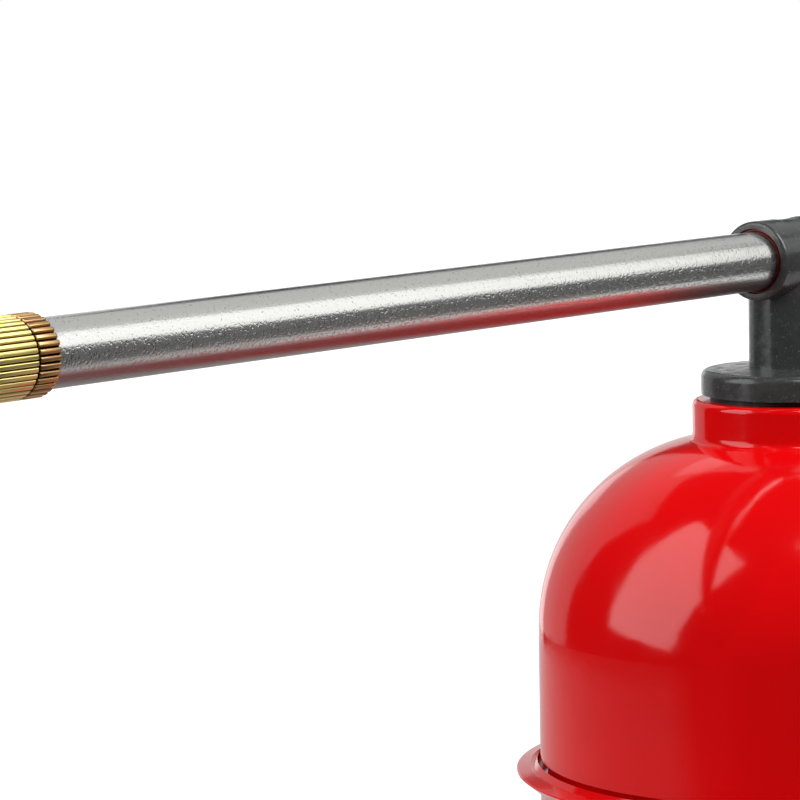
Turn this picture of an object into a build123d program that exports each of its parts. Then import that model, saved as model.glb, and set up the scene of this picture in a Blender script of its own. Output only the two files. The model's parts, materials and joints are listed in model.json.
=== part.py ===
from build123d import *
import math
import os

# Rotary hand transfer pump: a crank-driven gear pump stands inside a two-shell pressure
# vessel and delivers through a swivelling head, a long spout arm and a rubber-tipped nozzle.
# Origin: on the vessel's vertical axis at the underside of the base plate. +Z is up, the
# spout arm lies along -X at rest, the crank is on the +X side, the suction port on +Y.

# --- Driving dimensions (mm) ---------------------------------------------------------

# Heights
arm_height = 300.0        # axis of the spout arm above the base
neck_drop = 48.0          # arm axis down to the top of the vessel's neck
shoulder_drop = 126.4     # arm axis down to where the domed shoulder meets the wall
rim_drop = 171.0          # arm axis down to the dome's lower rim
lip_drop = 175.4          # arm axis down to the widest part of the casing's lip

# Base plate
base_margin = 3.0         # base plate's edge outside the casing's foot
base_thick = 8.0
base_corner_r = 22.0
plate_bevel = 1.0
base_hole_r = 4.5
base_hole_inset = 18.0    # bench bolt holes, from the plate's edges

# Vessel shells
vessel_r = 86.2           # outside of the upright walls
shoulder_r = 66.0         # section radius of the domed shoulder
dome_wall = 2.0
neck_r = 32.6
neck_bore_r = 22.0
neck_edge_r = 2.0
neck_root_r = 3.5
neck_boss_r = 30.0        # thickened boss under the neck, inside the dome
neck_boss_depth = 24.0
spigot_wall = 4.0         # dome's skirt that drops into the casing
spigot_depth = 20.0       # below the widest part of the lip
casing_wall = 4.7
socket_wall = 2.5         # casing wall beside the dome's skirt
foot_flange = 10.8        # foot flange outside the wall
foot_thick = 4.0
lip_overhang = 8.7        # lip outside the wall
lip_thick = 2.2
lip_flare = 7.0           # height over which the lip grows out of the wall
gutter_width = 0.4        # drip channel round the dome, outside the wall
gutter_depth = 2.6
gasket = 1.0              # thickness of the flat gaskets
edge_round = 1.2
lip_root_r = 5.0          # fillet where the lip grows out of the wall
foot_root_r = 3.0
lip_under_bevel = 1.5
lip_top_bevel = 0.8
lip_top_rise = 0.3
lip_round = 0.4
ridge_rise = 3.0          # ridge beside the gutter, above the widest part of the lip
ridge_out = 0.7           # outside the gutter
ridge_flank = 1.4
ridge_round = 0.6
groove_rise = 1.0         # shallow groove along the top of the lip
groove_out = 2.0
groove_round = 0.8
crest_rise = 1.3          # where the lip starts to fall away outwards
crest_out = 3.2
crest_round = 1.5
gutter_round = 0.15
gutter_slope = 0.1
rim_rise = 2.0            # the dome's skirt above its rim, inside
wall_rise = 8.0           # height over which the skirt meets the dome's wall

# Swivelling head, one moulding
swivel_gap = 1.8          # neck top to the collar's underside
swivel_washer_inset = 3.0 # washer's edge inside the collar's
collar_r = 29.5
collar_thick = 8.2
collar_rise = 1.0         # the collar's top slopes up to the post
collar_top_round = 2.4
collar_under_round = 1.2
post_root_r = 1.8
post_r = 13.2
tee_wall = 3.42           # hub's wall round the tube
tee_mid_wall = 3.1
tee_hub = 12.0            # length of the thicker end of the tee's barrel
tee_half = 19.3           # head axis to the mouth of the tee
tee_socket = 14.0
tee_round = 1.2           # rounded rims of the tee's mouths
mouth_depth = 2.2         # recess for the seal round the arm
arm_seal_r = 0.45         # section radius of that seal
arm_seal_depth = 1.3      # seal's middle inside the mouth
end_cap = 3.2             # plug's cap outside the tee
end_cap_round = 1.6
head_bore_r = 7.0
journal_r = 15.0          # the head's journal that turns in the neck bush
journal_thread_r = 12.5
journal_thread = 10.0
o_ring_r = 1.0            # section radius of the two journal seals
swivel_nut_flats = 34.0
swivel_nut_thick = 8.0
seal_depths = (7.0, 15.0)  # journal seals below the neck's top

# Riser, spout arm and nozzle
riser_r = 8.0
riser_wall = 1.2
riser_socket = 15.0
riser_foot_gap = 7.0      # riser's lower end above the pump
arm_r = 10.0
arm_wall = 1.5
arm_reach = 355.2         # head axis to the back of the knurled adapter
adapter_knurl = 7.8
adapter_thread_step = 0.2 # male thread below the tube's size
adapter_thread = 12.0
adapter_bore_r = 6.0
adapter_web = 1.5         # end wall that stops the arm tube
knurl_wall = 1.8          # knurled rings outside the tube's size
adapter_flutes = 34
nut_flutes = 40
flute_r = 0.5
nozzle_gap = 0.7          # adapter to nut when the nut is done up
nozzle_nut_len = 23.0
nozzle_lip = 4.0
nozzle_chamfer = 2.2
tip_step = 1.1            # cone's root below its flange
tip_end_r = 4.7
tip_out = 15.2            # cone standing out of the nut
tip_hole_r = 1.5
tip_round = 1.6

# Gear pump
gear_module = 4.0
gear_teeth = 11
pressure_angle = math.radians(25)
addendum = 0.8            # stub teeth, in modules
dedendum = 1.05
backlash = 0.3
gear_width = 40.0
gear_tip_gap = 0.1
gear_end_gap = 0.1
pump_wall = 8.0
cover_thick = 10.0
shaft_r = 6.0
bush_r = 9.0
bush_len = 8.0
key_size = 4.0
key_len = 24.0
port_r = 9.0
pedestal_width = 48.0
pump_foot_width = 96.0
pump_foot_thick = 8.0
pump_foot_corner_r = 5.0
pump_foot_screw_x = 12.0
pump_foot_screw_y = 40.0

# Shaft gland and crank
gland_boss_r = 13.5
gland_boss_in_step = 5.5  # gland's boss inside the casing's bore
gland_boss_step = 15.8    # gland's boss outside the casing's wall
gland_seat = 0.5          # gland nut's head above the boss
gland_bush_r = 8.0
gland_bush_len = 14.0
packing_r = 10.5
packing_ring = 2.5        # length of one of the two packing rings
gland_flats = 24.0
gland_head = 6.5
crank_gap = 3.0           # gland nut to the crank's hub
crank_hub_r = 13.0
crank_hub_len = 12.0
crank_arm_thick = 7.0
crank_eye_r = 10.0
crank_square = 8.4
crank_stud_r = 4.0
crank_washer = 1.5
crank_nut_flats = 13.0
crank_nut_thick = 6.5
crank_round = 1.0
stud_end = 2.0            # stud standing out of its nut
grip_clear = 5.5          # grip above the bench at the bottom of its turn
grip_r = 12.5
grip_end_r = 9.0
grip_len = 82.0
spindle_r = 4.0
spindle_head_r = 7.5
spindle_head = 3.0
spindle_head_round = 1.4
spindle_slot = 1.6
spindle_slot_depth = 1.2

# Suction fitting and its swing check valve
suction_boss_r = 22.0
suction_boss_in_step = 6.5
suction_boss_step = 9.8
suction_r = 17.0
suction_flats = 40.0
suction_head = 10.0
suction_thread_r = 9.3
valve_chamber_r = 13.0
valve_seat_depth = 30.0   # seat face behind the boss's face
valve_seat_r = 7.5
valve_seat_thick = 4.0
flap_r = 9.5
flap_thick = 1.7
flap_pin_r = 1.2
flap_pin_rise = 10.0      # hinge pin above the port's axis
flap_pin_back = 3.4       # hinge pin behind the seat face
flap_pin_len = 18.0
flap_eye_r = 2.3
flap_eye_len = 5.0

# Drain plug
drain_height = 28.0
drain_boss_r = 11.0
drain_boss_step = 2.8
drain_r = 6.0
drain_flats = 17.0
drain_head = 7.0

# Fasteners
m5_r = 2.5
m5_flats = 8.0
m5_head = 3.5
m5_nut = 4.0
m6_r = 3.0
m6_flats = 10.0
m6_head = 4.0
foot_screws = 8
dome_screws_count = 6
button_head_r = 4.75
button_head = 2.7
button_socket = 3.0
button_socket_depth = 1.6
button_round = 1.8
button_lift = 0.3         # button heads above the wall's crown
screw_hole_floor = 1.0    # blind holes above the base plate's underside
screw_floor = 1.5         # screw ends above the base plate's underside
bolt_end = 1.0            # bolt ends standing out of their nuts

# Clearances
running = 0.05            # radial gap of a shaft in its bush
fit = 0.05                # radial gap of pieces that are fixed in each other
play = 0.1                # end play of turning pieces
gasket_margin = 1.0       # gasket's edge inside its flange
overlap = 2.0             # boss rooted in its wall
past = 1.0                # cutter run past the face it cuts

# --- Derived places ------------------------------------------------------------------

neck_top = arm_height - neck_drop
shoulder_z = arm_height - shoulder_drop
rim_z = arm_height - rim_drop
lip_z = arm_height - lip_drop
spigot_bottom = lip_z - spigot_depth
ledge_z = spigot_bottom - gasket
casing_bottom = base_thick + gasket
casing_bore_r = vessel_r - casing_wall
socket_r = vessel_r - socket_wall
spigot_r = socket_r - 2 * fit
shoulder_centre = vessel_r - shoulder_r
foot_r = vessel_r + foot_flange
lip_r = vessel_r + lip_overhang
gutter_r = vessel_r + gutter_width
base_side = 2 * (foot_r + base_margin)
base_hole_pitch = base_side - 2 * base_hole_inset
tee_r = arm_r + tee_wall
tee_mid_r = arm_r + tee_mid_wall
collar_bottom = neck_top + swivel_gap
bush_bottom = neck_top - neck_boss_depth
journal_end = bush_bottom - play - journal_thread

pitch_r = gear_module * gear_teeth / 2
tip_circle = pitch_r + addendum * gear_module
root_circle = pitch_r - dedendum * gear_module
pump_half = gear_width / 2
pump_half_width = tip_circle + gear_tip_gap + pump_wall
gland_boss_in = casing_bore_r - gland_boss_in_step
gland_boss_out = vessel_r + gland_boss_step
suction_boss_in = casing_bore_r - suction_boss_in_step
suction_boss_out = vessel_r + suction_boss_step
valve_seat_at = suction_boss_out - valve_seat_depth
drain_boss_out = vessel_r + drain_boss_step
drive_z = ledge_z - gland_boss_r - play
idler_z = drive_z - 2 * pitch_r
port_z = (drive_z + idler_z) / 2
pump_top = drive_z + pump_half_width
bolt_circle = tip_circle + gear_tip_gap + pump_wall / 2
foot_screw_circle = (vessel_r + foot_r) / 2
dome_screw_z = (spigot_bottom + lip_z - lip_flare) / 2
crank_throw = drive_z - grip_r - grip_clear
grip_z = drive_z - crank_throw
crank_start = gland_boss_out + gland_seat + gland_head + crank_gap
crank_end = crank_start + crank_hub_len
grip_start = crank_end + crank_washer
suction_end = pump_half_width + 1.5 * gasket
suction_face = suction_boss_out + gasket
suction_mouth = suction_face + suction_head
knurl_r = arm_r + knurl_wall
adapter_thread_r = arm_r - adapter_thread_step
tip_root_r = adapter_thread_r - tip_step
nozzle_lip_r = tip_root_r + play
adapter_front = arm_reach + adapter_knurl
nut_back = adapter_front + nozzle_gap
nut_front = nut_back + nozzle_nut_len
tip_back = adapter_front + adapter_thread + 2 * play

# Planes whose normals run along the horizontal axes
drive_plane = Plane(origin=(0, 0, drive_z), x_dir=(0, 1, 0), z_dir=(1, 0, 0))
idler_plane = Plane(origin=(0, 0, idler_z), x_dir=(0, 1, 0), z_dir=(1, 0, 0))
grip_plane = Plane(origin=(0, 0, grip_z), x_dir=(0, 1, 0), z_dir=(1, 0, 0))
drain_plane = Plane(origin=(0, 0, drain_height), x_dir=(0, 1, 0), z_dir=(1, 0, 0))
arm_plane = Plane(origin=(0, 0, arm_height), x_dir=(0, -1, 0), z_dir=(-1, 0, 0))
suction_plane = Plane(origin=(0, 0, port_z), x_dir=(-1, 0, 0), z_dir=(0, 1, 0))
discharge_plane = Plane(origin=(0, 0, port_z), x_dir=(1, 0, 0), z_dir=(0, -1, 0))
arm_axis = Axis((0, 0, arm_height), (1, 0, 0))
grip_axis = Axis((0, 0, grip_z), (1, 0, 0))


def radial_planes(radius, height, count):
    """Planes that face outwards round the vessel, half a step off the +X direction."""
    planes = []
    for step in range(count):
        angle = 2 * math.pi * (step + 0.5) / count
        outward = (math.cos(angle), math.sin(angle), 0)
        origin = (radius * outward[0], radius * outward[1], height)
        planes.append(Plane(origin=origin, x_dir=(-outward[1], outward[0], 0), z_dir=outward))
    return planes


def cover_bolt_points():
    """Six bolt centres round the pump's outline, in the drive plane."""
    points = []
    for side in (1, -1):
        centre = 0 if side == 1 else -2 * pitch_r
        for degrees in (15, 90, 165):
            angle = math.radians(degrees)
            reach = bolt_circle * math.cos(angle)
            points.append((reach, centre + side * bolt_circle * math.sin(angle)))
    return points


def flank_point(radius):
    """Point of an involute flank at a radius, for a tooth centred on the first axis."""
    base_r = pitch_r * math.cos(pressure_angle)
    here = math.acos(min(1, base_r / radius))
    half = math.pi / (2 * gear_teeth) - backlash / (4 * pitch_r)
    turn = half + math.tan(pressure_angle) - pressure_angle - (math.tan(here) - here)
    return (radius * math.cos(turn), radius * math.sin(turn))


def gear_outline(plane, first_tooth):
    """Spur gear outline on a plane, its first tooth at an angle in degrees."""
    base_r = pitch_r * math.cos(pressure_angle)
    radii = [base_r + (tip_circle - base_r) * step / 5 for step in range(6)]
    upper = [flank_point(radius) for radius in radii]
    lower = [(x, -y) for x, y in upper]
    inner = root_circle - 1
    slope = upper[0][1] / upper[0][0]
    with BuildSketch(mode=Mode.PRIVATE) as tooth:
        with BuildLine():
            Spline(*upper)
            ThreePointArc(upper[-1], (tip_circle, 0), lower[-1])
            Spline(*lower)
            Polyline(upper[0], (inner, inner * slope), (inner, -inner * slope), lower[0])
        make_face()
    with BuildSketch(plane) as outline:
        Circle(root_circle)
        with PolarLocations(0, gear_teeth, start_angle=first_tooth):
            add(tooth.sketch)
    return outline.sketch


def fluted_ring(start, length, bore, flutes):
    """Knurled ring along the arm with straight flutes and bevelled ends."""
    bevel = 1.2 * flute_r
    with BuildPart() as ring:
        with BuildSketch(arm_plane.offset(start)):
            Circle(knurl_r)
            with PolarLocations(knurl_r, flutes):
                Circle(flute_r, mode=Mode.SUBTRACT)
        extrude(amount=length)
        with BuildSketch(Plane.XZ):
            with BuildLine():
                Polyline(
                    (-start, arm_height + bore),
                    (-start, arm_height + knurl_r - bevel),
                    (-start - bevel, arm_height + knurl_r),
                    (-start - length + bevel, arm_height + knurl_r),
                    (-start - length, arm_height + knurl_r - bevel),
                    (-start - length, arm_height + bore),
                    close=True,
                )
            make_face()
        revolve(axis=arm_axis, mode=Mode.INTERSECT)
    return ring.part


# --- Base ----------------------------------------------------------------------------

with BuildPart() as base_plate:
    with BuildSketch(Plane.XY):
        RectangleRounded(base_side, base_side, base_corner_r)
        with GridLocations(base_hole_pitch, base_hole_pitch, 2, 2):
            Circle(base_hole_r, mode=Mode.SUBTRACT)
    extrude(amount=base_thick)
    chamfer(base_plate.faces().sort_by(Axis.Z)[-1].outer_wire().edges(), plate_bevel)
    with BuildSketch(Plane.XY.offset(base_thick)):
        with PolarLocations(foot_screw_circle, foot_screws, start_angle=180 / foot_screws):
            Circle(m5_r + fit)
        with GridLocations(2 * pump_foot_screw_x, 2 * pump_foot_screw_y, 2, 2):
            Circle(m6_r + fit)
    extrude(amount=-(base_thick - screw_hole_floor), mode=Mode.SUBTRACT)
base_plate.part.label = "base_plate"

with BuildPart() as base_gasket:
    with BuildSketch(Plane.XY.offset(base_thick)):
        Circle(foot_r - gasket_margin)
        Circle(casing_bore_r, mode=Mode.SUBTRACT)
        with PolarLocations(foot_screw_circle, foot_screws, start_angle=180 / foot_screws):
            Circle(m5_r + fit, mode=Mode.SUBTRACT)
    extrude(amount=gasket)
base_gasket.part.label = "base_gasket"

# --- Vessel --------------------------------------------------------------------------

dome_screw_planes = radial_planes(vessel_r, dome_screw_z, dome_screws_count)

crest = (gutter_r + crest_out, lip_z + crest_rise)
groove = (gutter_r + groove_out, lip_z + groove_rise)
ridge = (gutter_r + ridge_out, lip_z + ridge_rise)
gutter_corner = (gutter_r - gutter_slope, lip_z + lip_thick / 2 - gutter_depth)

with BuildPart() as lower_casing:
    with BuildSketch(Plane.XZ) as casing_section:
        with BuildLine():
            Polyline(
                (casing_bore_r, casing_bottom),
                (foot_r, casing_bottom),
                (foot_r, casing_bottom + foot_thick),
                (vessel_r, casing_bottom + foot_thick),
                (vessel_r, lip_z - lip_flare),
                (lip_r - lip_under_bevel, lip_z - lip_thick / 2),
                (lip_r, lip_z),
                (lip_r - lip_top_bevel, lip_z + lip_top_rise),
                crest,
                groove,
                ridge,
                (gutter_r, lip_z + ridge_rise - ridge_flank),
                gutter_corner,
                (socket_r, lip_z + lip_thick / 2 - gutter_depth),
                (socket_r, ledge_z),
                (casing_bore_r, ledge_z),
                close=True,
            )
        make_face()
        corners = casing_section.vertices()
        fillet(corners.sort_by_distance((vessel_r, lip_z - lip_flare))[0], lip_root_r)
        foot_root = (vessel_r, casing_bottom + foot_thick)
        fillet(corners.sort_by_distance(foot_root)[0], foot_root_r)
        fillet(corners.sort_by_distance((foot_r, casing_bottom + foot_thick))[0], edge_round)
        fillet(corners.sort_by_distance(gutter_corner)[0], gutter_round)
        fillet(corners.sort_by_distance(ridge)[0], ridge_round)
        fillet(corners.sort_by_distance(groove)[0], groove_round)
        fillet(corners.sort_by_distance(crest)[0], crest_round)
        fillet(casing_section.vertices().sort_by_distance((lip_r, lip_z))[:3], lip_round)
    revolve(axis=Axis.Z)
    with BuildSketch(drive_plane.offset(gland_boss_in)):
        Circle(gland_boss_r)
    extrude(amount=gland_boss_out - gland_boss_in)
    with BuildSketch(drain_plane.offset(casing_bore_r - overlap)):
        Circle(drain_boss_r)
    extrude(amount=drain_boss_out - casing_bore_r + overlap)
    with BuildSketch(suction_plane.offset(suction_boss_in)):
        Circle(suction_boss_r)
    extrude(amount=suction_boss_out - suction_boss_in)
    with BuildSketch(drive_plane.offset(gland_boss_in)):
        Circle(gland_bush_r + fit)
    extrude(amount=gland_bush_len, mode=Mode.SUBTRACT)
    with BuildSketch(drive_plane.offset(gland_boss_in + gland_bush_len)):
        Circle(packing_r)
    extrude(amount=gland_boss_out, mode=Mode.SUBTRACT)
    with BuildSketch(drain_plane.offset(casing_bore_r - overlap - past)):
        Circle(drain_r + fit)
    extrude(amount=drain_boss_out, mode=Mode.SUBTRACT)
    with BuildSketch(suction_plane.offset(suction_boss_in - past)):
        Circle(suction_r + fit)
    extrude(amount=suction_boss_out, mode=Mode.SUBTRACT)
    with BuildSketch(*dome_screw_planes):
        Circle(m5_r + fit)
    extrude(amount=-socket_wall - past, mode=Mode.SUBTRACT)
    with BuildSketch(Plane.XY.offset(casing_bottom)):
        with PolarLocations(foot_screw_circle, foot_screws, start_angle=180 / foot_screws):
            Circle(m5_r + fit)
    extrude(amount=foot_thick, mode=Mode.SUBTRACT)
lower_casing.part.label = "lower_casing"

with BuildPart() as casing_screws:
    with BuildSketch(Plane.XY.offset(casing_bottom + foot_thick)):
        with PolarLocations(foot_screw_circle, foot_screws, start_angle=180 / foot_screws):
            RegularPolygon(m5_flats / 2, 6, major_radius=False)
    extrude(amount=m5_head)
    with BuildSketch(Plane.XY.offset(screw_floor)):
        with PolarLocations(foot_screw_circle, foot_screws, start_angle=180 / foot_screws):
            Circle(m5_r)
    extrude(amount=casing_bottom + foot_thick - screw_floor)
casing_screws.part.label = "casing_screws"

with BuildPart() as dome_gasket:
    with BuildSketch(Plane.XY.offset(ledge_z)):
        Circle(spigot_r)
        Circle(casing_bore_r + 2 * fit, mode=Mode.SUBTRACT)
    extrude(amount=gasket)
dome_gasket.part.label = "dome_gasket"


def shoulder_height(radius, section_r):
    """Height of the domed shoulder's section circle at a distance from the vessel's axis."""
    return shoulder_z + math.sqrt(section_r**2 - (radius - shoulder_centre) ** 2)


with BuildPart() as dome:
    inner_r = shoulder_r - dome_wall
    neck_foot = shoulder_height(neck_r, shoulder_r)
    boss_top = shoulder_height(neck_boss_r, inner_r)
    spigot_bore = spigot_r - spigot_wall
    screw_depth = vessel_r - spigot_bore - past
    with BuildSketch(Plane.XZ) as dome_section:
        with BuildLine():
            Polyline(
                (neck_bore_r + fit, neck_top - neck_boss_depth),
                (neck_bore_r + fit, neck_top),
                (neck_r, neck_top),
                (neck_r, neck_foot),
            )
            RadiusArc((neck_r, neck_foot), (vessel_r, shoulder_z), shoulder_r)
            Polyline(
                (vessel_r, shoulder_z),
                (vessel_r, rim_z),
                (spigot_r, rim_z),
                (spigot_r, spigot_bottom),
                (spigot_bore, spigot_bottom),
                (spigot_bore, rim_z + rim_rise),
                (vessel_r - dome_wall, rim_z + wall_rise),
                (vessel_r - dome_wall, shoulder_z),
            )
            RadiusArc((vessel_r - dome_wall, shoulder_z), (neck_boss_r, boss_top), -inner_r)
            Polyline(
                (neck_boss_r, boss_top),
                (neck_boss_r, neck_top - neck_boss_depth),
                (neck_bore_r + fit, neck_top - neck_boss_depth),
            )
        make_face()
        points = dome_section.vertices()
        fillet(points.sort_by_distance((neck_r, neck_top))[0], neck_edge_r)
        fillet(points.sort_by_distance((neck_r, neck_foot))[0], neck_root_r)
        fillet(points.sort_by_distance((vessel_r, rim_z))[0], edge_round)
    revolve(axis=Axis.Z)
    with BuildSketch(*dome_screw_planes):
        Circle(m5_r + fit)
    extrude(amount=-(screw_depth + 2 * play), mode=Mode.SUBTRACT)
dome.part.label = "dome"

with BuildPart() as dome_screws:
    with BuildSketch(*[plane.offset(button_lift) for plane in dome_screw_planes]):
        Circle(button_head_r)
    extrude(amount=button_head)
    fillet(dome_screws.edges().filter_by(GeomType.CIRCLE).group_by(
        lambda edge: round(math.hypot(edge.center().X, edge.center().Y), 2))[-1], button_round)
    with BuildSketch(*[plane.offset(button_lift + button_head) for plane in dome_screw_planes]):
        RegularPolygon(button_socket / 2, 6, major_radius=False)
    extrude(amount=-button_socket_depth, mode=Mode.SUBTRACT)
    with BuildSketch(*[plane.offset(button_lift) for plane in dome_screw_planes]):
        Circle(m5_r)
    extrude(amount=-screw_depth)
dome_screws.part.label = "dome_screws"

with BuildPart() as drain_gasket:
    with BuildSketch(drain_plane.offset(drain_boss_out)):
        Circle(drain_boss_r - gasket_margin)
        Circle(drain_r + fit, mode=Mode.SUBTRACT)
    extrude(amount=gasket)
drain_gasket.part.label = "drain_gasket"

with BuildPart() as drain_plug:
    with BuildSketch(drain_plane.offset(drain_boss_out + gasket)):
        RegularPolygon(drain_flats / 2, 6, major_radius=False)
    extrude(amount=drain_head)
    with BuildSketch(drain_plane.offset(casing_bore_r - past)):
        Circle(drain_r)
    extrude(amount=drain_boss_out + gasket - casing_bore_r + past)
drain_plug.part.label = "drain_plug"

# --- Swivelling head -----------------------------------------------------------------

with BuildPart() as neck_bush:
    with BuildSketch(Plane.XY.offset(bush_bottom)):
        Circle(neck_bore_r)
        Circle(journal_r + running, mode=Mode.SUBTRACT)
    extrude(amount=neck_boss_depth)
neck_bush.part.label = "neck_bush"

with BuildPart() as swivel_washer:
    with BuildSketch(Plane.XY.offset(neck_top)):
        Circle(collar_r - swivel_washer_inset)
        Circle(journal_r + 3 * play, mode=Mode.SUBTRACT)
    extrude(amount=swivel_gap - running)
swivel_washer.part.label = "swivel_washer"

seal_heights = [neck_top - depth for depth in seal_depths]
groove_r = journal_r - 2 * o_ring_r + running

with BuildPart() as swivel_head:
    with BuildSketch(Plane.XZ) as head_section:
        with BuildLine():
            Polyline(
                (0, journal_end),
                (journal_thread_r, journal_end),
                (journal_thread_r, bush_bottom - play),
                (journal_r, bush_bottom - play),
                (journal_r, collar_bottom),
                (collar_r, collar_bottom),
                (collar_r, collar_bottom + collar_thick),
                (post_r, collar_bottom + collar_thick + collar_rise),
                (post_r, arm_height - tee_mid_r / 2),
                (0, arm_height - tee_mid_r / 2),
                close=True,
            )
        make_face()
        rims = head_section.vertices()
        fillet(rims.sort_by_distance((collar_r, collar_bottom + collar_thick))[0], collar_top_round)
        fillet(rims.sort_by_distance((collar_r, collar_bottom))[0], collar_under_round)
        base_of_post = (post_r, collar_bottom + collar_thick + collar_rise)
        fillet(rims.sort_by_distance(base_of_post)[0], post_root_r)
    revolve(axis=Axis.Z)
    with BuildSketch(arm_plane.offset(-tee_half)):
        Circle(tee_mid_r)
    extrude(amount=2 * tee_half)
    with BuildSketch(arm_plane.offset(tee_half - tee_hub), arm_plane.offset(-tee_half)):
        Circle(tee_r)
    extrude(amount=tee_hub)
    mouths = swivel_head.edges().filter_by(GeomType.CIRCLE)
    fillet(mouths.filter_by(lambda e: abs(abs(e.center().X) - tee_half) < 0.01), tee_round)
    with BuildSketch(arm_plane.offset(tee_half - tee_socket), arm_plane.offset(-tee_half)):
        Circle(arm_r + fit)
    extrude(amount=tee_socket, mode=Mode.SUBTRACT)
    with BuildSketch(arm_plane.offset(tee_half - mouth_depth)):
        Circle(arm_r + 2 * arm_seal_r + 2 * fit)
    extrude(amount=mouth_depth, mode=Mode.SUBTRACT)
    with BuildSketch(arm_plane.offset(-tee_half + tee_socket)):
        Circle(head_bore_r)
    extrude(amount=2 * (tee_half - tee_socket), mode=Mode.SUBTRACT)
    with BuildSketch(Plane.XY.offset(journal_end)):
        Circle(head_bore_r)
    extrude(amount=arm_height - journal_end, mode=Mode.SUBTRACT)
    with BuildSketch(Plane.XY.offset(journal_end)):
        Circle(riser_r + fit)
    extrude(amount=riser_socket, mode=Mode.SUBTRACT)
    for height in seal_heights:
        with BuildSketch(Plane.XY.offset(height - o_ring_r)):
            Circle(journal_r + past)
            Circle(groove_r, mode=Mode.SUBTRACT)
        extrude(amount=2 * o_ring_r, mode=Mode.SUBTRACT)
swivel_head.part.label = "swivel_head"

with BuildPart() as journal_seals:
    for height in seal_heights:
        with BuildSketch(Plane.XZ):
            with Locations((groove_r + o_ring_r - running, height)):
                Circle(o_ring_r - running)
        revolve(axis=Axis.Z)
journal_seals.part.label = "journal_seals"

with BuildPart() as swivel_nut:
    with BuildSketch(Plane.XY.offset(bush_bottom - play)):
        RegularPolygon(swivel_nut_flats / 2, 6, major_radius=False)
        Circle(journal_thread_r + fit, mode=Mode.SUBTRACT)
    extrude(amount=-swivel_nut_thick)
swivel_nut.part.label = "swivel_nut"

with BuildPart() as riser_tube:
    with BuildSketch(Plane.XY.offset(pump_top + riser_foot_gap)):
        Circle(riser_r)
        Circle(riser_r - riser_wall, mode=Mode.SUBTRACT)
    extrude(amount=journal_end + riser_socket - pump_top - riser_foot_gap)
riser_tube.part.label = "riser_tube"

with BuildPart() as tee_end_plug:
    with BuildSketch(arm_plane.offset(-tee_half)):
        Circle(tee_r)
    extrude(amount=-end_cap)
    fillet(tee_end_plug.edges().filter_by(GeomType.CIRCLE).sort_by(Axis.X)[-1], end_cap_round)
    with BuildSketch(arm_plane.offset(-tee_half)):
        Circle(arm_r)
    extrude(amount=tee_socket - past)
tee_end_plug.part.label = "tee_end_plug"

with BuildPart() as arm_seal:
    with BuildSketch(Plane.XZ):
        with Locations((-tee_half + arm_seal_depth, arm_height + arm_r + arm_seal_r + fit)):
            Circle(arm_seal_r)
    revolve(axis=arm_axis)
arm_seal.part.label = "arm_seal"

with BuildPart() as arm_tube:
    with BuildSketch(arm_plane.offset(tee_half - tee_socket + play)):
        Circle(arm_r)
        Circle(arm_r - arm_wall, mode=Mode.SUBTRACT)
    extrude(amount=arm_reach - tee_half + tee_socket + adapter_knurl - adapter_web - play)
arm_tube.part.label = "arm_tube"

# --- Nozzle --------------------------------------------------------------------------

adapter_blank = fluted_ring(arm_reach, adapter_knurl, adapter_bore_r, adapter_flutes)

with BuildPart() as nozzle_adapter:
    add(adapter_blank)
    with BuildSketch(arm_plane.offset(arm_reach)):
        Circle(arm_r + fit)
    extrude(amount=adapter_knurl - adapter_web, mode=Mode.SUBTRACT)
    with BuildSketch(arm_plane.offset(adapter_front)):
        Circle(adapter_thread_r)
        Circle(adapter_bore_r, mode=Mode.SUBTRACT)
    extrude(amount=adapter_thread)
nozzle_adapter.part.label = "nozzle_adapter"

nut_blank = fluted_ring(nut_back, nozzle_nut_len, nozzle_lip_r, nut_flutes)

with BuildPart() as nozzle_nut:
    add(nut_blank)
    with BuildSketch(arm_plane.offset(nut_back)):
        Circle(adapter_thread_r + 2 * running)
    extrude(amount=nozzle_nut_len - nozzle_lip, mode=Mode.SUBTRACT)
    with BuildSketch(Plane.XZ):
        with BuildLine():
            Polyline(
                (-nut_front, arm_height + knurl_r - nozzle_chamfer),
                (-nut_front, arm_height + knurl_r + past),
                (-nut_front + nozzle_chamfer + past, arm_height + knurl_r + past),
                close=True,
            )
        make_face()
    revolve(axis=arm_axis, mode=Mode.SUBTRACT)
nozzle_nut.part.label = "nozzle_nut"

with BuildPart() as rubber_tip:
    tip_end = nut_front + tip_out
    flange_front = nut_front - nozzle_lip - play
    with BuildSketch(Plane.XZ) as tip_section:
        with BuildLine():
            Polyline(
                (-tip_back, arm_height + tip_hole_r),
                (-tip_back, arm_height + adapter_thread_r - play),
                (-flange_front, arm_height + adapter_thread_r - play),
                (-flange_front, arm_height + tip_root_r),
                (-nut_front, arm_height + tip_root_r),
                (-tip_end, arm_height + tip_end_r),
                (-tip_end, arm_height + tip_hole_r),
                close=True,
            )
        make_face()
        outer_corner = (-tip_end, arm_height + tip_end_r)
        fillet(tip_section.vertices().sort_by_distance(outer_corner)[0], tip_round)
    revolve(axis=arm_axis)
rubber_tip.part.label = "rubber_tip"

# --- Gear pump -----------------------------------------------------------------------

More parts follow.
